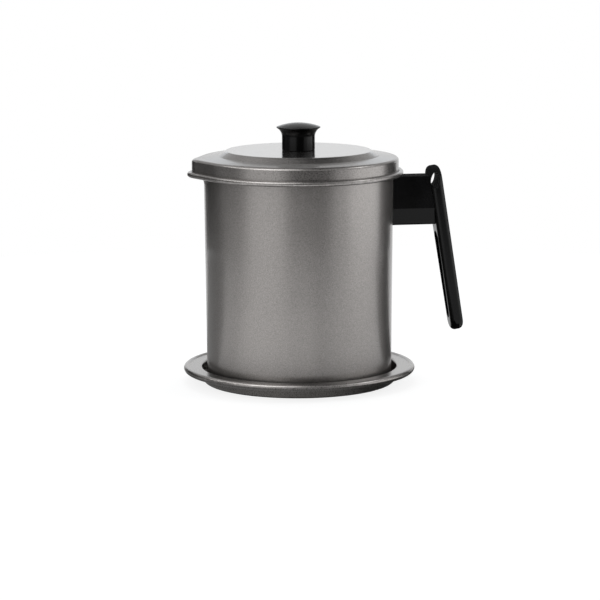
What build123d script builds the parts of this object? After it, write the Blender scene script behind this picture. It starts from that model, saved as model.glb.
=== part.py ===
"""Bacon grease container: a lidded steel can with a strainer, standing in a drip tray.

Millimetres, +Z up. The origin is the centre of the tray's flat underside. The handle
points along +X and the pouring spout along -X.
"""

from build123d import *
from math import acos, cos, radians, sin
import os

os.makedirs("parts", exist_ok=True)

# ---------------------------------------------------------------- driving dimensions
# Drip tray: one pressed sheet with a flat floor, a sloping well and a wide flat rim.
TRAY_RIM_RADIUS = 82.4
TRAY_WALL_TOP_RADIUS = 70.3
TRAY_FOOT_RADIUS = 68.4
TRAY_RIM_LEVEL = 11.5
TRAY_SHEET = 0.8
TRAY_FOOT_ROUND = 3.0
TRAY_WELL_ROUND = 0.5
TRAY_EDGE_BEAD = 4.6
TRAY_EDGE_TOP = 12.3

# Pot: a drawn can, a little narrower at its foot, with a rolled mouth and a V spout.
POT_MOUTH_RADIUS = 67.1
POT_FOOT_RADIUS = 65.7
POT_FOOT_ROUND = 5.0
POT_SHEET = 0.7
POT_RIM_TOP = 158.5
POT_RIM_BEAD = 3.0
POT_RIM_BEAD_OFFSET = 0.7
SPOUT_REACH = 71.0
SPOUT_TIP_RADIUS = 10.0
SPOUT_FOOT = 139.0

# Lid: a raised plateau, a narrow sloping ring, a skirt with a beak over the spout, and
# a rolled hem.
LID_SHEET = 0.7
LID_SHOULDER = 160.8
LID_SKIRT_RADIUS = 70.9
LID_BEAK_REACH = 76.0
LID_BEAK_TIP_RADIUS = 18.0
LID_SHOULDER_ROUND = 2.4
LID_HEM_BEAD = 3.8
LID_HEM_CENTRE = 149.9
LID_HEM_OFFSET = 1.4
LID_PLATEAU_TOP = 165.6
LID_PLATEAU_RADIUS = 51.3
LID_STEP_RADIUS = 56.6
LID_RING_TOP = 162.0
LID_RING_EDGE_RADIUS = 67.6

# Lid knob: a flared stem under a slightly domed cap, with a moulded-in brass insert.
KNOB_STEM_RADIUS = 11.7
KNOB_CAP_RADIUS = 15.55
KNOB_NECK = 175.2
KNOB_CAP_EDGE = 182.3
KNOB_EDGE_ROUND = 0.5
KNOB_TOP = 185.0
INSERT_RADIUS = 4.2
INSERT_LENGTH = 11.0

# Strainer: a shallow pressed cup hung by its flange on the pot's rolled mouth.
STRAINER_FLANGE_RADIUS = 68.9
STRAINER_RADIUS = 64.2
STRAINER_FLOOR = 128.0
STRAINER_SHEET = 0.6
STRAINER_HEM_WIDTH = 2.4
SIEVE_HOLE = 7.4
SIEVE_PITCH = 14.2
SIEVE_RINGS = 3
MESH_THICKNESS = 0.4
MESH_RADIUS = 59.6
RETAINER_WIDTH = 5.0
RETAINER_THICKNESS = 1.6

# Handle: one moulding. A block stands off the wall and carries a leaning paddle grip.
GRIP_LEAN = 8.9
GRIP_THICKNESS = 9.45
GRIP_TOP = 152.8
GRIP_TIP = 33.5
GRIP_MID_REACH = 105.85
GRIP_TOP_RADIUS = 10.0
GRIP_TIP_RADIUS = 8.0
GRIP_EDGE_ROUND = 3.6
BLOCK_TOP = 146.1
BLOCK_CHAMFER_TOP = 122.8
BLOCK_BOTTOM = 110.5
BLOCK_WIDTH = 15.5
BLOCK_KEEL_WIDTH = 7.6
BLOCK_INNER_END = 50.0
BLOCK_OUTER_END = 100.0
POCKET_TOP = 106.0
POCKET_FOOT = 42.8
POCKET_TOP_RADIUS = 5.8
POCKET_FOOT_RADIUS = 4.2
POCKET_DEPTH = 5.6
EYE_CENTRE = (97.2, 143.2)
EYE_WIDTH = 6.2
EYE_HEIGHT = 11.0

# Fixing of the handle: a curved pad spot-welded to the wall, a threaded boss and a screw.
FIXING_HEIGHT = 128.0
PAD_WIDTH = 11.0
PAD_HEIGHT = 22.0
PAD_THICKNESS = 1.2
BOSS_RADIUS = 4.5
BOSS_LENGTH = 12.0
SCREW_RADIUS = 2.5
HANDLE_SCREW_LENGTH = 25.0
HANDLE_SCREW_SEAT = 98.1
COUNTERBORE_RADIUS = 5.6
WASHER_THICKNESS = 1.0
HEAD_RADIUS = 4.6
HEAD_HEIGHT = 3.2
KNOB_SCREW_LENGTH = 10.0

# Play and seating gaps.
SEAT_GAP = 0.05
THREAD_PLAY = 0.05
MOULDED_PLAY = 0.25


# ---------------------------------------------------------------- shared shapes
def two_circle_outline(near_radius, far_radius, distance):
    """Closed outline round a circle at the origin and a second one at -distance on X."""
    turn = acos((near_radius - far_radius) / distance)
    near = Vector(-near_radius * cos(turn), near_radius * sin(turn))
    far = Vector(-distance - far_radius * cos(turn), far_radius * sin(turn))
    near_low = Vector(near.X, -near.Y)
    far_low = Vector(far.X, -far.Y)
    return Wire(
        [
            ThreePointArc(near_low, (near_radius, 0), near),
            Line(near, far),
            ThreePointArc(far, (-distance - far_radius, 0), far_low),
            Line(far_low, near_low),
        ]
    )


def beaked_outline(radius, tip_radius, reach, grow):
    """Round outline with a beak towards -X, grown or shrunk evenly by grow."""
    return two_circle_outline(radius + grow, tip_radius + grow, reach - tip_radius)


def prism(outline, bottom, top):
    """Upright solid on a closed outline, between two heights."""
    return extrude(Pos(0, 0, bottom) * make_face(outline), top - bottom)


def rolled_bead(outline, height, bead_radius):
    """Round bead along a closed outline at a height."""
    path = Pos(0, 0, height) * outline
    start = Plane(origin=path @ 0, z_dir=path % 0)
    return sweep(start * Circle(bead_radius), path=path)


def turned(points):
    """Solid of revolution about Z from a closed polygon of (radius, height) points."""
    return revolve(make_face(Plane.XZ * Polyline(*points, close=True)), Axis.Z)


def turned_sheet(points, roundings, thickness):
    """Pressed round sheet: an open profile with rounded bends, thickened upwards."""
    profile = Polyline(*points)
    for corner, rounding in zip(points[1:-1], roundings):
        bend = profile.vertices().sort_by_distance(corner)[0]
        profile = fillet(bend, rounding)
    section = offset(profile, amount=thickness, side=Side.LEFT, closed=True)
    return revolve(Plane.XZ * make_face(section), Axis.Z)


def rod(radius, length):
    """Cylinder on the origin, rising along Z."""
    return Cylinder(radius, length, align=(Align.CENTER, Align.CENTER, Align.MIN))


def pan_screw(shank_radius, length):
    """Cross-recessed pan-head screw, its head above Z = 0 and its shank below."""
    head = rod(HEAD_RADIUS, HEAD_HEIGHT)
    head = fillet(head.edges().group_by(Axis.Z)[-1], 1.4)
    shank = Pos(0, 0, -length) * rod(shank_radius, length)
    shank = chamfer(shank.edges().group_by(Axis.Z)[0], 0.6)
    slot_depth = 1.8
    arm = Pos(0, 0, HEAD_HEIGHT - slot_depth / 2) * Box(5.0, 1.1, slot_depth)
    return head + shank - arm - Rot(0, 0, 90) * arm


def washer(outer_radius):
    """Flat washer rising from Z = 0."""
    disc = rod(outer_radius, WASHER_THICKNESS)
    return disc - rod(SCREW_RADIUS + 0.2, WASHER_THICKNESS)


def radial(reach, height):
    """Place whose Z axis points outwards along +X at a height."""
    return Plane(origin=(reach, 0, height), z_dir=(1, 0, 0), x_dir=(0, 1, 0))


# ---------------------------------------------------------------- drip tray
def make_drip_tray():
    underside = TRAY_RIM_LEVEL - TRAY_SHEET
    bead_radius = TRAY_EDGE_BEAD / 2
    bead_centre = TRAY_RIM_RADIUS - bead_radius
    sheet = turned_sheet(
        [
            (0, 0),
            (TRAY_FOOT_RADIUS, 0),
            (TRAY_WALL_TOP_RADIUS, underside),
            (bead_centre, underside),
        ],
        [TRAY_FOOT_ROUND, TRAY_WELL_ROUND],
        TRAY_SHEET,
    )
    edge = Pos(bead_centre, 0, TRAY_EDGE_TOP - bead_radius) * (
        Rot(90, 0, 0) * Circle(bead_radius)
    )
    return sheet + revolve(edge, Axis.Z)


# ---------------------------------------------------------------- pot
def can(grow, floor):
    """Solid can inside the wall's outer face, grown by grow, from its floor height up."""
    slope = (POT_MOUTH_RADIUS - POT_FOOT_RADIUS) / (POT_RIM_TOP - TRAY_SHEET)
    foot = POT_FOOT_RADIUS + slope * (floor - TRAY_SHEET) + grow
    mouth = POT_MOUTH_RADIUS + grow
    body = turned([(0, floor), (foot, floor), (mouth, POT_RIM_TOP), (0, POT_RIM_TOP)])
    return fillet(body.edges().group_by(Axis.Z)[0], POT_FOOT_ROUND + grow)


def spout_wedge(grow):
    """V wedge that grows out of the wall from the spout's foot up to the mouth."""
    outline = beaked_outline(POT_MOUTH_RADIUS, SPOUT_TIP_RADIUS, SPOUT_REACH, grow)
    corners = [outline.edges()[1], outline.edges()[2], outline.edges()[3]]
    chord = Line(corners[2] @ 1, corners[0] @ 0)
    upper = make_face(corners + [chord])
    pull = SPOUT_REACH - POT_MOUTH_RADIUS + POT_SHEET
    return loft(
        [Pos(pull, 0, SPOUT_FOOT) * upper, Pos(0, 0, POT_RIM_TOP) * upper],
        ruled=True,
    )


def make_pot_body():
    outside = can(0, TRAY_SHEET) + spout_wedge(0)
    inside = can(-POT_SHEET, TRAY_SHEET + POT_SHEET) + spout_wedge(-POT_SHEET)
    bead_radius = POT_RIM_BEAD / 2
    bead_height = POT_RIM_TOP - bead_radius
    above = Pos(0, 0, bead_height + 50) * Box(200, 200, 100)
    shell = outside - inside - above
    lip = beaked_outline(
        POT_MOUTH_RADIUS, SPOUT_TIP_RADIUS, SPOUT_REACH, POT_RIM_BEAD_OFFSET
    )
    return shell + rolled_bead(lip, bead_height, bead_radius)


# ---------------------------------------------------------------- lid
def lid_volume(grow):
    """Space under the lid's outer face, shrunk on every side by -grow."""
    outline = beaked_outline(
        LID_SKIRT_RADIUS, LID_BEAK_TIP_RADIUS, LID_BEAK_REACH, grow
    )
    shoulder = LID_SHOULDER + grow
    skirt = prism(outline, LID_HEM_CENTRE, shoulder)
    skirt = fillet(skirt.edges().group_by(Axis.Z)[-1], LID_SHOULDER_ROUND + grow)
    profile = Polyline(
        (0, shoulder - 0.3),
        (LID_RING_EDGE_RADIUS, shoulder - 0.3),
        (LID_RING_EDGE_RADIUS, shoulder),
        (LID_STEP_RADIUS + grow * 0.4, LID_RING_TOP + grow),
        (LID_PLATEAU_RADIUS + grow * 0.4, LID_PLATEAU_TOP + grow),
        (0, LID_PLATEAU_TOP + grow),
        close=True,
    )
    section = make_face(profile)
    step = section.vertices().sort_by(Axis.X)[-4:-2]
    section = fillet(step, 1.4)
    return skirt + revolve(Plane.XZ * section, Axis.Z)


def make_lid_shell():
    skirt_edge = LID_HEM_CENTRE + 0.35
    below = Pos(0, 0, skirt_edge - 5) * Box(200, 200, 10)
    sheet = lid_volume(0) - lid_volume(-LID_SHEET) - below
    hem = beaked_outline(
        LID_SKIRT_RADIUS, LID_BEAK_TIP_RADIUS, LID_BEAK_REACH, LID_HEM_OFFSET
    )
    lid = sheet + rolled_bead(hem, LID_HEM_CENTRE, LID_HEM_BEAD / 2)
    screw_hole = Pos(0, 0, LID_PLATEAU_TOP - 3) * rod(SCREW_RADIUS + 0.2, 6)
    return lid - screw_hole


# ---------------------------------------------------------------- knob and its fixing
def make_lid_knob():
    base = LID_PLATEAU_TOP
    stem = KNOB_STEM_RADIUS
    cap = KNOB_CAP_RADIUS - KNOB_EDGE_ROUND
    dome_rise = KNOB_TOP - KNOB_CAP_EDGE
    dome_radius = (cap**2 + dome_rise**2) / (2 * dome_rise)
    dome_middle = KNOB_TOP - dome_radius + (dome_radius**2 - (cap / 2) ** 2) ** 0.5
    underside = KNOB_CAP_EDGE - 2 * KNOB_EDGE_ROUND
    profile = [
        Line((0, base), (stem, base)),
        Line((stem, base), (stem, KNOB_NECK)),
        TangentArc((stem, KNOB_NECK), (cap, underside), tangent=(0, 1)),
        ThreePointArc(
            (cap, underside),
            (KNOB_CAP_RADIUS, KNOB_CAP_EDGE - KNOB_EDGE_ROUND),
            (cap, KNOB_CAP_EDGE),
        ),
        ThreePointArc((cap, KNOB_CAP_EDGE), (cap / 2, dome_middle), (0, KNOB_TOP)),
        Line((0, KNOB_TOP), (0, base)),
    ]
    knob = revolve(Plane.XZ * make_face(profile), Axis.Z)
    knob = fillet(knob.edges().group_by(Axis.Z)[0], 0.6)
    return knob - Pos(0, 0, base) * rod(INSERT_RADIUS, INSERT_LENGTH)


def make_knob_insert():
    insert = rod(INSERT_RADIUS, INSERT_LENGTH)
    groove = Pos(0, 0, INSERT_LENGTH / 2 - 1) * (
        rod(INSERT_RADIUS, 2.0) - rod(INSERT_RADIUS - 0.6, 2.0)
    )
    bore = rod(SCREW_RADIUS + THREAD_PLAY, INSERT_LENGTH - 1.5)
    return Pos(0, 0, LID_PLATEAU_TOP) * (insert - groove - bore)


def make_knob_screw_washer():
    underside = LID_PLATEAU_TOP - LID_SHEET
    return Pos(0, 0, underside - WASHER_THICKNESS) * washer(6.0)


def make_knob_screw():
    seat = LID_PLATEAU_TOP - LID_SHEET - WASHER_THICKNESS
    return Pos(0, 0, seat) * Rot(180, 0, 0) * pan_screw(SCREW_RADIUS, KNOB_SCREW_LENGTH)


# ---------------------------------------------------------------- strainer
def make_strainer_cup():
    flange_bottom = POT_RIM_TOP + SEAT_GAP
    cup = turned_sheet(
        [
            (0, STRAINER_FLOOR),
            (STRAINER_RADIUS - 1.0, STRAINER_FLOOR),
            (STRAINER_RADIUS, flange_bottom),
            (STRAINER_FLANGE_RADIUS, flange_bottom),
        ],
        [1.8, 1.0],
        STRAINER_SHEET,
    )
    hem_inside = STRAINER_FLANGE_RADIUS - STRAINER_HEM_WIDTH
    hem_top = LID_SHOULDER - LID_SHEET
    hem = turned(
        [
            (hem_inside, flange_bottom + STRAINER_SHEET / 2),
            (STRAINER_FLANGE_RADIUS, flange_bottom + STRAINER_SHEET / 2),
            (STRAINER_FLANGE_RADIUS, hem_top),
            (hem_inside, hem_top),
        ]
    )
    hem = fillet(hem.edges().group_by(Axis.Z)[-1], 0.5)
    cup = cup + hem
    hole = Pos(0, 0, STRAINER_FLOOR - 1) * rod(SIEVE_HOLE / 2, STRAINER_SHEET + 2)
    holes = [hole]
    for ring in range(1, SIEVE_RINGS + 1):
        count = 6 * ring
        for place in range(count):
            turn = 360 * place / count
            holes.append(Rot(0, 0, turn) * Pos(ring * SIEVE_PITCH, 0, 0) * hole)
    return cup - holes


def make_strainer_mesh():
    return Pos(0, 0, STRAINER_FLOOR + STRAINER_SHEET) * rod(MESH_RADIUS, MESH_THICKNESS)


def make_mesh_retaining_ring():
    bottom = STRAINER_FLOOR + STRAINER_SHEET + MESH_THICKNESS
    outer = rod(MESH_RADIUS, RETAINER_THICKNESS)
    outer = fillet(outer.edges().group_by(Axis.Z)[-1], 0.6)
    return Pos(0, 0, bottom) * (
        outer - rod(MESH_RADIUS - RETAINER_WIDTH, RETAINER_THICKNESS)
    )


# ---------------------------------------------------------------- handle and its fixing
def grip_plane():
    """Mid-plane of the leaning grip: Y runs up the grip, Z points outwards."""
    lean = radians(GRIP_LEAN)
    middle = (GRIP_TOP + GRIP_TIP) / 2
    return Plane(
        origin=(GRIP_MID_REACH, 0, middle),
        x_dir=(0, 1, 0),
        z_dir=(cos(lean), 0, sin(lean)),
    )


def grip_outline(top_radius, tip_radius, top, tip):
    """Long tapered slot in the grip's plane between two heights of its ends."""
    lean = cos(radians(GRIP_LEAN))
    middle = (GRIP_TOP + GRIP_TIP) / 2
    top_centre = (top - middle) / lean - top_radius
    tip_centre = (tip - middle) / lean + tip_radius
    outline = two_circle_outline(top_radius, tip_radius, top_centre - tip_centre)
    return Pos(0, top_centre, 0) * Rot(0, 0, 90) * outline


def make_handle():
    plane = grip_plane()
    outline = grip_outline(GRIP_TOP_RADIUS, GRIP_TIP_RADIUS, GRIP_TOP, GRIP_TIP)
    grip = extrude(make_face(outline), GRIP_THICKNESS / 2, both=True)
    rims = grip.edges().group_by(Axis.Z)
    grip = plane * fillet(rims[0] + rims[-1], GRIP_EDGE_ROUND)

    half = BLOCK_WIDTH / 2
    keel = BLOCK_KEEL_WIDTH / 2
    section = make_face(
        Polyline(
            (-half, BLOCK_TOP),
            (half, BLOCK_TOP),
            (half, BLOCK_CHAMFER_TOP),
            (keel, BLOCK_BOTTOM),
            (-keel, BLOCK_BOTTOM),
            (-half, BLOCK_CHAMFER_TOP),
            close=True,
        )
    )
    section = fillet(section.vertices().group_by(Axis.Y)[-1], 0.8)
    section = fillet(section.vertices().group_by(Axis.Y)[0], 1.6)
    block_length = BLOCK_OUTER_END - BLOCK_INNER_END
    block = extrude(Plane.YZ.offset(BLOCK_INNER_END) * section, block_length)
    moulding = grip + (block - can(MOULDED_PLAY, TRAY_SHEET))

    pocket = grip_outline(POCKET_TOP_RADIUS, POCKET_FOOT_RADIUS, POCKET_TOP, POCKET_FOOT)
    pocket = extrude(make_face(pocket), POCKET_DEPTH)
    moulding -= plane * Pos(0, 0, -GRIP_THICKNESS / 2) * pocket

    eye_reach, eye_height = EYE_CENTRE
    eye = extrude(Ellipse(EYE_WIDTH / 2, EYE_HEIGHT / 2), 2 * GRIP_TOP_RADIUS, both=True)
    moulding -= Pos(eye_reach, 0, eye_height) * Rot(0, GRIP_LEAN, 0) * Rot(90, 0, 0) * eye

    wall = POT_MOUTH_RADIUS
    boss_space = radial(wall - 2, FIXING_HEIGHT) * rod(
        BOSS_RADIUS + MOULDED_PLAY, BOSS_LENGTH + PAD_THICKNESS + 2.5
    )
    screw_space = radial(wall, FIXING_HEIGHT) * rod(SCREW_RADIUS + MOULDED_PLAY, 40)
    head_space = radial(HANDLE_SCREW_SEAT - WASHER_THICKNESS, FIXING_HEIGHT) * rod(
        COUNTERBORE_RADIUS, 20
    )
    pad_space = pad(MOULDED_PLAY, PAD_THICKNESS + 2 * MOULDED_PLAY)
    return moulding - boss_space - screw_space - head_space - pad_space


def pad(grow, thickness):
    """Curved plate that lies on the wall behind the handle's block."""
    blank = Pos(POT_MOUTH_RADIUS, 0, FIXING_HEIGHT) * Box(
        20, PAD_WIDTH + 2 * grow, PAD_HEIGHT + 2 * grow
    )
    return blank & (can(thickness + SEAT_GAP, TRAY_SHEET) - can(SEAT_GAP, TRAY_SHEET))


def make_handle_pad():
    hole = radial(POT_MOUTH_RADIUS - 5, FIXING_HEIGHT) * rod(BOSS_RADIUS - 1.0, 20)
    return pad(0, PAD_THICKNESS) - hole


def make_handle_boss():
    seat = POT_MOUTH_RADIUS + PAD_THICKNESS + SEAT_GAP
    barrel = radial(seat, FIXING_HEIGHT) * rod(BOSS_RADIUS, BOSS_LENGTH)
    spigot = radial(seat - PAD_THICKNESS, FIXING_HEIGHT) * rod(
        BOSS_RADIUS - 1.05, PAD_THICKNESS + 1
    )
    bore = radial(seat - 5, FIXING_HEIGHT) * rod(
        SCREW_RADIUS + THREAD_PLAY, BOSS_LENGTH + 10
    )
    return barrel + spigot - bore


def make_handle_screw_washer():
    place = radial(HANDLE_SCREW_SEAT - WASHER_THICKNESS, FIXING_HEIGHT)
    return place * washer(COUNTERBORE_RADIUS - 0.3)


def make_handle_screw():
    place = radial(HANDLE_SCREW_SEAT, FIXING_HEIGHT)
    return place * pan_screw(SCREW_RADIUS, HANDLE_SCREW_LENGTH)


# ---------------------------------------------------------------- all nodes
NODES = {
    "drip_tray": make_drip_tray,
    "pot_body": make_pot_body,
    "handle_pad": make_handle_pad,
    "handle_boss": make_handle_boss,
    "handle": make_handle,
    "handle_screw_washer": make_handle_screw_washer,
    "handle_screw": make_handle_screw,
    "strainer_cup": make_strainer_cup,
    "strainer_mesh": make_strainer_mesh,
    "mesh_retaining_ring": make_mesh_retaining_ring,
    "lid_shell": make_lid_shell,
    "lid_knob": make_lid_knob,
    "knob_insert": make_knob_insert,
    "knob_screw_washer": make_knob_screw_washer,
    "knob_screw": make_knob_screw,
}

for node, make in NODES.items():
    shape = make()
    solids = shape.solids()
    print(node, len(solids), "solid", round(sum(solid.volume for solid in solids)))
    export_step(shape, f"parts/{node}.step")
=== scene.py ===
"""Looks of the bacon grease container: coated steel, black mouldings, bright strainer."""

from math import cos, pi, radians, sin, sqrt

import bmesh
import bpy
from mathutils import Matrix, Vector


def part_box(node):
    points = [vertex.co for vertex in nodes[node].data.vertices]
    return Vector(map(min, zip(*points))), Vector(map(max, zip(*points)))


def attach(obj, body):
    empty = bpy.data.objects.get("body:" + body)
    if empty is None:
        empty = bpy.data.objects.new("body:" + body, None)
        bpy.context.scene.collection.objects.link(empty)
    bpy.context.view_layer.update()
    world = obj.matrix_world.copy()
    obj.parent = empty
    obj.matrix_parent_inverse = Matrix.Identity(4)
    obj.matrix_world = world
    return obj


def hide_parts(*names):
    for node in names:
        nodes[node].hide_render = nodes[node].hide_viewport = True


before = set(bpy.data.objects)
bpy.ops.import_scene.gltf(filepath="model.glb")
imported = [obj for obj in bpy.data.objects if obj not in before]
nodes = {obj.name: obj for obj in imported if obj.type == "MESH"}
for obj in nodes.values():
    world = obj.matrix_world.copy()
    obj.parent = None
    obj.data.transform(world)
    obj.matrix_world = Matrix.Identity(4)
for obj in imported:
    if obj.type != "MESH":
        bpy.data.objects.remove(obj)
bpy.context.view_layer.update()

# ---------------------------------------------------------------- stand and camera
# Lengths are in metres. The handle is turned a little away from the viewer. "Across" runs
# to the viewer's right and "away" runs from the viewer, both level.
HANDLE_TURN = radians(9.6)
ACROSS = Vector((cos(HANDLE_TURN), -sin(HANDLE_TURN), 0))
AWAY = Vector((sin(HANDLE_TURN), cos(HANDLE_TURN), 0))

CAMERA_DISTANCE = 1.9
CAMERA_HEIGHT = 0.374
CAMERA_ACROSS = 0.0007
CAMERA_PITCH = radians(9.44)
CAMERA_ROLL = radians(0.207)
SENSOR_WIDTH = 36
LENS = 162


def spot(across, away, up):
    """Point given by the viewer's right, depth and height."""
    return ACROSS * across + AWAY * away + Vector((0, 0, up))


def add(name, data):
    """Puts new data into the scene as an object."""
    made = bpy.data.objects.new(name, data)
    bpy.context.scene.collection.objects.link(made)
    return made


def add_mesh(name, mesh, material):
    """Puts a finished bmesh into the scene, in one material."""
    data = bpy.data.meshes.new(name)
    mesh.to_mesh(data)
    mesh.free()
    data.materials.append(material)
    return add(name, data)


def cleared_tree(owner):
    """Empty node tree of a new material or world."""
    owner.use_nodes = True
    owner.node_tree.nodes.clear()
    return owner.node_tree


def make_camera():
    data = bpy.data.cameras.new("camera")
    data.sensor_fit = "HORIZONTAL"
    data.sensor_width = SENSOR_WIDTH
    data.lens = LENS
    camera = add("camera", data)
    turn = Matrix.Rotation(-HANDLE_TURN, 4, "Z")
    pitch = Matrix.Rotation(pi / 2 - CAMERA_PITCH, 4, "X")
    roll = Matrix.Rotation(-CAMERA_ROLL, 4, "Z")
    place = Matrix.Translation(spot(CAMERA_ACROSS, -CAMERA_DISTANCE, CAMERA_HEIGHT))
    camera.matrix_world = place @ turn @ pitch @ roll
    bpy.context.scene.camera = camera


# ---------------------------------------------------------------- node helpers
# Nearly all values of a noise lie in this range.
NOISE_RANGE = (0.3, 0.7)
# The Mix node's sockets for colours. Other kinds of value have sockets of the same names.
MIX_FIRST, MIX_SECOND, MIX_RESULT = 6, 7, 2
# A dull patch has faded out at this many times its reach.
PATCH_FADE = 1.1


class Finish:
    """A material under construction, with short calls for the nodes that it uses."""

    def __init__(self, name):
        self.material = bpy.data.materials.new(name)
        self.material.use_nodes = True
        self.tree = self.material.node_tree
        self.shader = self.tree.nodes["Principled BSDF"]
        self.place = self.node("ShaderNodeTexCoord").outputs["Object"]

    def node(self, kind, **values):
        made = self.tree.nodes.new(kind)
        for key, value in values.items():
            setattr(made, key, value)
        return made

    def join(self, source, target):
        self.tree.links.new(source, target)

    def set(self, **values):
        """Sets plain numbers on the shader's own sockets."""
        for key, value in values.items():
            self.shader.inputs[key.replace("_", " ")].default_value = value
        return self

    def noise_over(self, vector, scale, detail, rough):
        """Noise that is read at a given vector."""
        noise = self.node("ShaderNodeTexNoise")
        for key, value in (("Scale", scale), ("Detail", detail), ("Roughness", rough)):
            noise.inputs[key].default_value = value
        self.join(vector, noise.inputs["Vector"])
        return noise.outputs["Fac"]

    def noise(self, scale, detail=2.0, rough=0.5, stretch=(1, 1, 1)):
        mapping = self.node("ShaderNodeMapping")
        mapping.inputs["Scale"].default_value = stretch
        self.join(self.place, mapping.inputs["Vector"])
        return self.noise_over(mapping.outputs["Vector"], scale, detail, rough)

    def span(self, source, values, target=(0, 1)):
        """Spreads a range of values over a target range, held at its ends."""
        node = self.node("ShaderNodeMapRange")
        for key, value in zip(("From Min", "From Max", "To Min", "To Max"),
                              (*values, *target)):
            node.inputs[key].default_value = value
        self.join(source, node.inputs["Value"])
        return node.outputs["Result"]

    def calc(self, operation, first, second):
        """Sum, product or larger of two values, each a socket or a number."""
        node = self.node("ShaderNodeMath", operation=operation)
        for socket, value in zip(node.inputs, (first, second)):
            if isinstance(value, (int, float)):
                socket.default_value = value
            else:
                self.join(value, socket)
        return node.outputs["Value"]

    def blend(self, factor, dark, light):
        """Mixes two colours, each a socket or a plain colour."""
        node = self.node("ShaderNodeMix", data_type="RGBA")
        for index, value in ((MIX_FIRST, dark), (MIX_SECOND, light)):
            if isinstance(value, tuple):
                node.inputs[index].default_value = (*value, 1)
            else:
                self.join(value, node.inputs[index])
        self.join(factor, node.inputs["Factor"])
        return node.outputs[MIX_RESULT]

    def colour(self, source):
        self.join(source, self.shader.inputs["Base Color"])

    def rough(self, source):
        self.join(source, self.shader.inputs["Roughness"])

    def bump(self, source, depth, strength):
        node = self.node("ShaderNodeBump")
        node.inputs["Distance"].default_value = depth
        node.inputs["Strength"].default_value = strength
        self.join(source, node.inputs["Height"])
        self.join(node.outputs["Normal"], self.shader.inputs["Normal"])

    def distance(self, weights, centre=(0, 0, 0)):
        """Distance from a centre. Each axis has a weight, and 0 leaves it out."""
        mapping = self.node("ShaderNodeMapping")
        mapping.inputs["Location"].default_value = [-part for part in centre]
        self.join(self.place, mapping.inputs["Vector"])
        weighted = self.node("ShaderNodeVectorMath", operation="MULTIPLY")
        weighted.inputs[1].default_value = weights
        self.join(mapping.outputs["Vector"], weighted.inputs[0])
        length = self.node("ShaderNodeVectorMath", operation="LENGTH")
        self.join(weighted.outputs[0], length.inputs[0])
        return length.outputs["Value"]

    def radius(self):
        """Distance from the upright axis."""
        return self.distance((1, 1, 0))

    def height(self):
        split = self.node("ShaderNodeSeparateXYZ")
        self.join(self.place, split.inputs[0])
        return split.outputs["Z"]

    def dull_patch(self, x, z, reach, slender, roughness):
        """Roughness inside an upright oval of the X-Z plane, and nothing outside it."""
        length = self.distance((1, 0, slender), (x, 0, z))
        return self.span(length, (reach, reach * PATCH_FADE), (roughness, 0))

    def rings(self, scale, detail=3.0, rough=0.5):
        """Fine lines that run round the upright axis, on walls and on flat floors."""
        section = self.node("ShaderNodeCombineXYZ")
        self.join(self.radius(), section.inputs["X"])
        self.join(self.height(), section.inputs["Y"])
        return self.noise_over(section.outputs[0], scale, detail, rough)


# ---------------------------------------------------------------- coated steel
COAT_DARK = (0.172, 0.163, 0.157)
COAT_LIGHT = (0.333, 0.317, 0.306)
COAT_RUBBED = (0.43, 0.415, 0.405)
COAT_METALLIC = 0.94
LACQUER_ROUGHNESS = 0.1
# The speckle is grain with finer flecks in it, over broad and faint clouds.
GRAIN_SCALE = 1500
GRAIN_SHARE = 0.7
FLECK_SCALE = 3600
CLOUD_SCALE = 16
CLOUD_TONES = (-0.08, 0.08)
SPECKLE_RANGE = (0.34, 0.66)
SPECKLE_DEPTH = 0.00004
SPECKLE_ROUGHNESS = 0.11
# The outermost edge is rubbed in patches.
RUBBED_WIDTH = 0.0012
RUBBED_SCALE = 220
RUBBED_RANGE = (0.48, 0.66)
RUBBED_TONES = (0, 0.5)
# A smoother top face: the height over which the coat turns smoother, and the part of its
# roughness that is left there.
SMOOTH_EDGE = 0.001
SMOOTH_PART = 0.62


def coated_steel(name, rim_radius, lacquer, rough, shade, relief, smooth_above=None):
    """Warm grey metallic coat with a fine speckle, rubbed a little lighter at the rim."""
    coat = Finish(name).set(Metallic=COAT_METALLIC, Coat_Weight=lacquer,
                            Coat_Roughness=LACQUER_ROUGHNESS)
    # The shade scales all of the coat's colours. Below 1 it is painted shade.
    dark, light, rubbed = (tuple(part * shade for part in colour)
                           for colour in (COAT_DARK, COAT_LIGHT, COAT_RUBBED))
    grain = coat.noise(GRAIN_SCALE, detail=3.0, rough=0.65)
    fleck = coat.noise(FLECK_SCALE, detail=1.0)
    cloud = coat.noise(CLOUD_SCALE)
    speckle = coat.calc("ADD", coat.calc("MULTIPLY", grain, GRAIN_SHARE),
                        coat.calc("MULTIPLY", fleck, 1 - GRAIN_SHARE))
    tone = coat.calc("ADD", coat.span(speckle, SPECKLE_RANGE),
                     coat.span(cloud, NOISE_RANGE, CLOUD_TONES))
    edge = coat.span(coat.radius(), (rim_radius - RUBBED_WIDTH, rim_radius))
    patches = coat.span(coat.noise(RUBBED_SCALE, detail=4.0), RUBBED_RANGE, RUBBED_TONES)
    coat.colour(coat.blend(coat.calc("MULTIPLY", edge, patches),
                           coat.blend(tone, dark, light), rubbed))
    roughness = coat.span(speckle, NOISE_RANGE, (rough, rough + SPECKLE_ROUGHNESS))
    if smooth_above:
        smooth = coat.span(coat.height(), (smooth_above - SMOOTH_EDGE, smooth_above),
                           (1, SMOOTH_PART))
        roughness = coat.calc("MULTIPLY", roughness, smooth)
    coat.rough(roughness)
    coat.bump(speckle, SPECKLE_DEPTH, relief)
    return coat.material


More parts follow.
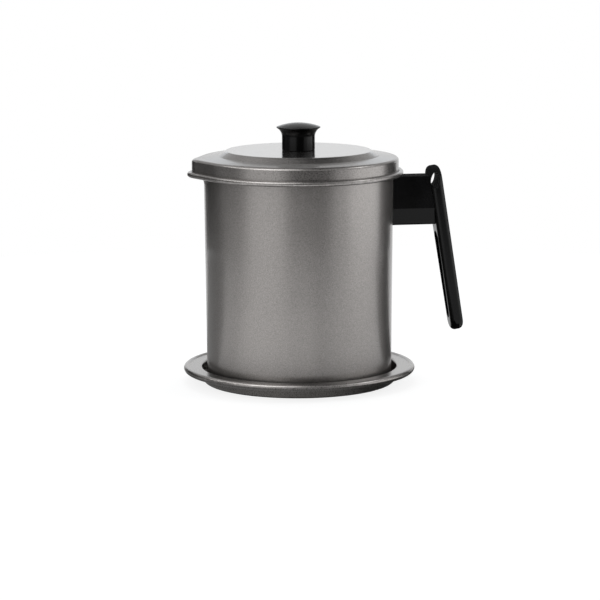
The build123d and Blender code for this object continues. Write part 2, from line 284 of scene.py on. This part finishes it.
# ---------------------------------------------------------------- black mouldings
MOULDING_DARK = (0.0008, 0.0008, 0.0009)
MOULDING_LIGHT = (0.0025, 0.0025, 0.0028)
MOULDING_IOR = 1.5
MOULDING_SPECULAR = 0.18
FLOW_SCALE = 45
FLOW_DEPTH = 0.00012
FLOW_RELIEF = 0.25
FLOW_ROUGHNESS = 0.07
SCUFF_SCALE = 900
SCUFF_RANGE = (0.4, 0.75)
SCUFF_ROUGHNESS = (0, 0.1)
HANDLED_ROUGHNESS = 0.95
HANDLED_EDGE = 0.0002


def black_moulding(name, rough, dull_hole=None, dull_above=None):
    """Black moulded plastic, glossy, with faint flow marks and handling scuffs.

    The wall of a cored hole keeps the dull face of its core pin, and the top faces are
    dulled by handling.
    """
    black = Finish(name).set(IOR=MOULDING_IOR, Specular_IOR_Level=MOULDING_SPECULAR)
    flow = black.noise(FLOW_SCALE, detail=3.0)
    scuff = black.noise(SCUFF_SCALE, detail=4.0, rough=0.7)
    black.colour(black.blend(black.span(flow, NOISE_RANGE), MOULDING_DARK, MOULDING_LIGHT))
    roughness = black.calc("ADD", black.span(scuff, SCUFF_RANGE, SCUFF_ROUGHNESS),
                           black.span(flow, NOISE_RANGE, (rough, rough + FLOW_ROUGHNESS)))
    if dull_hole:
        roughness = black.calc("MAXIMUM", roughness, black.dull_patch(**dull_hole))
    if dull_above:
        handled = black.span(black.height(),
                             (dull_above - HANDLED_EDGE, dull_above + HANDLED_EDGE),
                             (0, HANDLED_ROUGHNESS))
        roughness = black.calc("MAXIMUM", roughness, handled)
    black.rough(roughness)
    black.bump(flow, FLOW_DEPTH, FLOW_RELIEF)
    return black.material


# ---------------------------------------------------------------- bare metals
STEEL_GREY = (0.5, 0.5, 0.49)
STEEL_DRAWN = (0.56, 0.56, 0.55)
STEEL_PALE = (0.68, 0.68, 0.67)
PLATING_GREY = (0.58, 0.58, 0.58)
PLATING_PALE = (0.76, 0.76, 0.76)
BRASS_DARK = (0.6, 0.43, 0.17)
BRASS_PALE = (0.78, 0.6, 0.29)
# The colour, the relief and the roughness follow the metal's grain. Broad stains lie over it.
METAL_TONES = (0.1, 0.9)
METAL_DEPTH = 0.00003
METAL_RELIEF = 0.4
METAL_ROUGHNESS = 0.12
STAIN_SCALE = 60
STAIN_TONES = (-0.2, 0.2)
# The grain of the pad, the boss and the washers is drawn out upwards.
DRAWN_UPWARDS = (1, 1, 0.2)


def metal(name, dark, light, rough, grain_scale, stretch=(1, 1, 1), turned=False):
    """Bare metal with a fine grain. Turned or drawn metal has rings round the axis."""
    bare = Finish(name).set(Metallic=1.0)
    if turned:
        grain = bare.rings(grain_scale)
    else:
        grain = bare.noise(grain_scale, detail=3.0, rough=0.6, stretch=stretch)
    stain = bare.noise(STAIN_SCALE, detail=3.0)
    tone = bare.calc("ADD", bare.span(grain, NOISE_RANGE, METAL_TONES),
                     bare.span(stain, NOISE_RANGE, STAIN_TONES))
    bare.colour(bare.blend(tone, dark, light))
    bare.rough(bare.span(grain, NOISE_RANGE, (rough, rough + METAL_ROUGHNESS)))
    bare.bump(grain, METAL_DEPTH, METAL_RELIEF)
    return bare.material


# ---------------------------------------------------------------- dressed nodes
# Rims of the three coated pieces, and two top faces, taken just under their levels.
POT_RIM = 0.0690
LID_RIM = 0.0742
TRAY_RIM = 0.0824
LID_PLATEAU = 0.1652
HANDLE_BLOCK_TOP = 0.1458
# The hang eye in the grip: its middle, a little over half its width, its width over its
# height, and the roughness of its wall.
HANG_EYE = dict(x=0.0972, z=0.1432, reach=0.0033, slender=0.564, roughness=0.85)


def dress(material, *names):
    """Gives CAD nodes a material in all their slots."""
    for name in names:
        for slot in nodes[name].material_slots:
            slot.material = material


# The lid's and the tray's coats are darker copies of the pot's coat (shade 0.92 and 0.95):
# painted shade that tones down the light their tops catch.
dress(coated_steel("pot_coat", POT_RIM, lacquer=0.35, rough=0.27, shade=1.0, relief=0.48),
      "pot_body")
dress(coated_steel("lid_coat", LID_RIM, lacquer=0.4, rough=0.24, shade=0.92, relief=0.1,
                   smooth_above=LID_PLATEAU),
      "lid_shell")
dress(coated_steel("tray_coat", TRAY_RIM, lacquer=0.35, rough=0.24, shade=0.95, relief=0.3),
      "drip_tray")
dress(black_moulding("handle_black", rough=0.16, dull_hole=HANG_EYE,
                     dull_above=HANDLE_BLOCK_TOP),
      "handle")
dress(black_moulding("knob_black", rough=0.15),
      "lid_knob")
dress(metal("pad_steel", STEEL_GREY, STEEL_PALE, rough=0.3, grain_scale=700,
            stretch=DRAWN_UPWARDS),
      "handle_pad", "handle_boss", "handle_screw_washer", "knob_screw_washer")
dress(metal("screw_plating", PLATING_GREY, PLATING_PALE, rough=0.14, grain_scale=1100),
      "handle_screw", "knob_screw")
dress(metal("strainer_drawn", STEEL_DRAWN, STEEL_PALE, rough=0.2, grain_scale=2200,
            turned=True),
      "strainer_cup", "mesh_retaining_ring")
dress(metal("insert_brass", BRASS_DARK, BRASS_PALE, rough=0.22, grain_scale=2600,
            turned=True),
      "knob_insert")


# ---------------------------------------------------------------- woven mesh
WIRE_RADIUS = 0.0001
WIRE_SIDES = 4
WEAVE_PITCH = 0.0014
STEPS_PER_PITCH = 2
# Points along a rolled wire's seam that lie closer than this are joined.
SEAM_GAP = WIRE_RADIUS / 50


def weave_wire(mesh, offset, reach, along_x, phase):
    """One wire of the weave: a grid rolled into a thin tube that waves over and under."""
    half = sqrt(reach * reach - offset * offset)
    steps = max(2, round(2 * half / WEAVE_PITCH * STEPS_PER_PITCH))
    made = bmesh.ops.create_grid(mesh, x_segments=steps, y_segments=WIRE_SIDES, size=1)
    for vert in made["verts"]:
        along = vert.co.x * half
        around = pi * vert.co.y
        wave = WIRE_RADIUS * cos(pi * (along / WEAVE_PITCH + phase))
        side = offset + WIRE_RADIUS * cos(around)
        rise = wave + WIRE_RADIUS * sin(around)
        vert.co = (along, side, rise) if along_x else (side, along, rise)


def make_woven_mesh():
    """Round sieve cloth that takes the place of the plain disc in the strainer."""
    low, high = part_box("strainer_mesh")
    reach = (high.x - low.x) / 2 - WIRE_RADIUS
    level = (low.z + high.z) / 2
    mesh = bmesh.new()
    count = int(reach / WEAVE_PITCH)
    for along_x in (True, False):
        for row in range(-count, count + 1):
            phase = row + (0 if along_x else 1)
            weave_wire(mesh, row * WEAVE_PITCH, reach, along_x, phase)
    bmesh.ops.remove_doubles(mesh, verts=mesh.verts, dist=SEAM_GAP)
    bmesh.ops.holes_fill(mesh, edges=mesh.edges, sides=WIRE_SIDES)
    bmesh.ops.recalc_face_normals(mesh, faces=mesh.faces)
    bmesh.ops.translate(mesh, verts=mesh.verts, vec=(0, 0, level))
    wire = metal("woven_wire", STEEL_GREY, STEEL_PALE, rough=0.22, grain_scale=1400)
    woven = add_mesh("woven_mesh", mesh, wire)
    for face in woven.data.polygons:
        face.use_smooth = True
    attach(woven, "strainer")
    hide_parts("strainer_mesh")


make_woven_mesh()


# ---------------------------------------------------------------- room and table
WHITE = (1, 1, 1, 1)
ROOM_LIGHT = 0.35
ROOM_TINT = (0.95, 0.97, 1.0, 1)
TABLE_RADIUS = 0.66
TABLE_SIDES = 96
TABLE_DROP = 0.0002
TABLE_GREY = (0.25, 0.25, 0.25, 1)
TABLE_GLOW = 0.85


def seen_by_viewer(tree):
    """One for what the viewer sees straight, in a reflection or through glass."""
    path = tree.nodes.new("ShaderNodeLightPath")
    total = path.outputs["Is Camera Ray"]
    for ray in ("Is Glossy Ray", "Is Transmission Ray"):
        most = tree.nodes.new("ShaderNodeMath")
        most.operation = "MAXIMUM"
        tree.links.new(total, most.inputs[0])
        tree.links.new(path.outputs[ray], most.inputs[1])
        total = most.outputs[0]
    return total


def mix_for_viewer(tree, for_light, for_viewer, out):
    """Uses one shader for what the viewer sees and another for all other light."""
    mix = tree.nodes.new("ShaderNodeMixShader")
    tree.links.new(seen_by_viewer(tree), mix.inputs[0])
    tree.links.new(for_light.outputs[0], mix.inputs[1])
    tree.links.new(for_viewer.outputs[0], mix.inputs[2])
    tree.links.new(mix.outputs[0], out.inputs["Surface"])


def make_world():
    """White to the viewer, and a dimmer, cooler light on the object."""
    world = bpy.data.worlds.new("studio")
    bpy.context.scene.world = world
    tree = cleared_tree(world)
    out = tree.nodes.new("ShaderNodeOutputWorld")
    room = tree.nodes.new("ShaderNodeBackground")
    room.inputs["Color"].default_value = ROOM_TINT
    room.inputs["Strength"].default_value = ROOM_LIGHT
    white = tree.nodes.new("ShaderNodeBackground")
    white.inputs["Color"].default_value = WHITE
    white.inputs["Strength"].default_value = 1.0
    mix_for_viewer(tree, room, white, out)


def table_white():
    """Matte sheet that glows to the viewer and in the metal, and still takes shadows."""
    sheet = bpy.data.materials.new("table_white")
    tree = cleared_tree(sheet)
    out = tree.nodes.new("ShaderNodeOutputMaterial")
    matte = tree.nodes.new("ShaderNodeBsdfDiffuse")
    matte.inputs["Color"].default_value = TABLE_GREY
    glow = tree.nodes.new("ShaderNodeEmission")
    glow.inputs["Strength"].default_value = TABLE_GLOW
    both = tree.nodes.new("ShaderNodeAddShader")
    tree.links.new(matte.outputs[0], both.inputs[0])
    tree.links.new(glow.outputs[0], both.inputs[1])
    mix_for_viewer(tree, matte, both, out)
    return sheet


def make_table():
    """Round table top, a hair under the tray so that thin cards fit between them."""
    mesh = bmesh.new()
    bmesh.ops.create_circle(mesh, cap_ends=True, segments=TABLE_SIDES, radius=TABLE_RADIUS)
    bmesh.ops.translate(mesh, verts=mesh.verts, vec=(0, 0, -TABLE_DROP))
    table = add_mesh("table", mesh, table_white())


# ---------------------------------------------------------------- cards and lamps
# Degrees between two rows of a card that runs round the table.
CARD_STEP = 6
CARD_REACH = 1.15
CARD_FOOT = -0.4
CARD_TOP = 1.3
# The inner cards at the front and the sides end just under the cards overhead.
INNER_TOP = 1.27
UPPER_FOOT = 0.5
FRONT_LIGHT_HEIGHT = CARD_TOP - 0.02
# Rings on the table, from where the tray's foot leaves it outwards.
FLOOR_LEVEL = -TABLE_DROP / 2
FOOT_REACH = 0.0655
EDGE_REACH = 0.068
NEAR_REACH = 0.135
FRONT_REACH = 0.15
FLOOR_REACH = 0.62
# Bearing and grey of the upright cards.
SURROUND = ((-154, 0.03), (-112, 0.03), (-104, 0.25), (-68, 0.25), (-57, 1.1), (-21, 1.1),
            (-9, 0.06), (35, 0.06), (45, 0.9), (58, 0.9), (66, 1.75), (109, 1.75),
            (115, 0.02), (147, 0.02))
UPPER_BACK = ((104, 0.5), (120, 0.55), (180, 0.72), (240, 0.55), (256, 0.5))
UPPER_FRONT = ((-24, 0.6), (64, 0.6))
UPPER_RIGHT = ((40, 0.7), (116, 0.7))
STRIP = ((-118, 0.3), (-100, 3.2), (-50, 3.2), (-14, 2.2), (4, 0.1))
# Bearing and grey of the cards on the table.
# The first two are painted shade: dark sheets, seen only in reflections, that stand for the
# table's shade at the tray's foot and round it, lighter at the front left.
FOOT_SHADE = ((-100, 0.01), (104, 0.01))
NEAR_SHADE = ((-100, 0.05), (-65, 0.22), (-15, 0.32), (20, 0.2), (45, 0.05), (104, 0.03))
FLOOR_FRONT = ((-78, 0.9), (-66, 1.35), (10, 1.35), (24, 0.9))
FLOOR_LEFT = ((-148, 0.32), (-98, 0.32))
FLOOR_RIGHT = ((104, 0.05), (138, 0.05))
# Across, depth from and to, and grey of the cards overhead.
CEILING = ((-1.15, -1.15, 1.15, 0.9), (-0.5, -1.15, 1.15, 0.75), (-0.15, -1.15, 1.15, 0.4),
           (0.1, -1.15, 1.15, 0.07), (0.4, -1.15, 1.15, 0.07), (0.75, -1.15, 1.15, 0.5),
           (1.15, -1.15, 1.15, 0.6))
FRONT_LIGHT = ((-0.95, -0.9, -0.2, 3.0), (-0.2, -0.95, -0.3, 3.0), (0.02, -0.95, -0.4, 1.8),
               (0.16, -0.9, -0.5, 0.1))
# The lamps face this point.
POT_MIDDLE = Vector((0, 0, 0.09))
COOL_WHITE = (0.96, 0.98, 1.0)
SKY_BLUE = (0.65, 0.83, 1.0)


def bearing(angle, reach, up):
    """Point on a ring round the pot: 0 degrees is the viewer's side, 90 the right."""
    turn = radians(angle)
    return spot(reach * sin(turn), -reach * cos(turn), up)


def grey_paper(name):
    """Paper that shines as brightly as the grey at each corner of its card says."""
    paper = bpy.data.materials.new(name)
    tree = cleared_tree(paper)
    out = tree.nodes.new("ShaderNodeOutputMaterial")
    light = tree.nodes.new("ShaderNodeEmission")
    tone = tree.nodes.new("ShaderNodeAttribute")
    tone.attribute_name = "grey"
    tree.links.new(tone.outputs["Fac"], light.inputs["Strength"])
    tree.links.new(light.outputs[0], out.inputs["Surface"])
    return paper


def grey_card(name, rows):
    """Card that only gloss can see. Each row: its two ends and its grey."""
    mesh = bmesh.new()
    shade = mesh.verts.layers.float.new("grey")
    before = None
    for start, end, grey in rows:
        pair = [mesh.verts.new(start), mesh.verts.new(end)]
        for vert in pair:
            vert[shade] = grey
        if before:
            mesh.faces.new((before[0], before[1], pair[1], pair[0]))
        before = pair
    card = add_mesh(name, mesh, grey_paper(name))
    card.visible_camera = False
    card.visible_diffuse = False
    card.visible_shadow = False


def ring_card(name, stops, near, far):
    """Card between two rings round the table, each given by its reach and its height.

    The stops are pairs of a bearing and the card's grey there.
    """
    rows = []
    for (start, first), (end, last) in zip(stops, stops[1:]):
        count = max(1, round((end - start) / CARD_STEP))
        for part in (index / count for index in range(count)):
            angle = start + (end - start) * part
            rows.append((bearing(angle, *near), bearing(angle, *far),
                         first + (last - first) * part))
    angle, grey = stops[-1]
    rows.append((bearing(angle, *near), bearing(angle, *far), grey))
    grey_card(name, rows)


def upright_card(name, stops, reach, foot, top):
    ring_card(name, stops, (reach, foot), (reach, top))


def floor_card(name, stops, inner, outer):
    ring_card(name, stops, (inner, FLOOR_LEVEL), (outer, FLOOR_LEVEL))


def level_card(name, stops, height):
    """Level card overhead. Each stop: across, depth from and to, and the grey there."""
    grey_card(name, [(spot(across, near, height), spot(across, far, height), grey)
                     for across, near, far, grey in stops])


def softbox(name, place, width, height, watts, colour=(1, 1, 1), in_gloss=True):
    """Area lamp that faces the pot. The camera doesn't see it."""
    data = bpy.data.lights.new(name, "AREA")
    data.shape = "RECTANGLE"
    data.size = width
    data.size_y = height
    data.energy = watts
    data.color = colour
    lamp = add(name, data)
    facing = (POT_MIDDLE - place).to_track_quat("-Z", "Y").to_matrix().to_4x4()
    lamp.matrix_world = Matrix.Translation(place) @ facing
    lamp.visible_camera = False
    lamp.visible_glossy = in_gloss


make_camera()
make_world()
make_table()
# The upright cards stand one inside the other, so that no two share a surface.
upright_card("surround_card", SURROUND, reach=CARD_REACH, foot=CARD_FOOT, top=CARD_TOP)
upright_card("upper_back_card", UPPER_BACK, reach=1.14, foot=UPPER_FOOT, top=CARD_TOP)
upright_card("upper_front_card", UPPER_FRONT, reach=1.13, foot=UPPER_FOOT, top=INNER_TOP)
upright_card("upper_right_card", UPPER_RIGHT, reach=1.12, foot=0.33, top=INNER_TOP)
upright_card("strip_card", STRIP, reach=1.1, foot=0.8, top=INNER_TOP)
# Painted shade on the table at the tray's foot and round it, seen only in reflections.
floor_card("foot_shade_card", FOOT_SHADE, FOOT_REACH, EDGE_REACH)
floor_card("near_shade_card", NEAR_SHADE, EDGE_REACH, NEAR_REACH)
floor_card("floor_front_card", FLOOR_FRONT, FRONT_REACH, FLOOR_REACH)
floor_card("floor_left_card", FLOOR_LEFT, FOOT_REACH, FLOOR_REACH)
floor_card("floor_right_card", FLOOR_RIGHT, FOOT_REACH, FLOOR_REACH)
level_card("ceiling_card", CEILING, CARD_TOP)
level_card("front_light_card", FRONT_LIGHT, FRONT_LIGHT_HEIGHT)
softbox("softbox_right", bearing(88, reach=1.1, up=0.9), width=0.5, height=0.6, watts=4)
softbox("softbox_left", bearing(-40, reach=1.1, up=1.0), width=0.7, height=0.6, watts=4)
softbox("softbox_top", spot(0.0, away=0.5, up=1.6), width=1.0, height=0.8, watts=8,
        colour=COOL_WHITE, in_gloss=False)
softbox("softbox_back", spot(0.0, away=1.3, up=0.55), width=1.2, height=0.4, watts=0.35,
        colour=SKY_BLUE)

bpy.context.scene.view_settings.view_transform = "Standard"
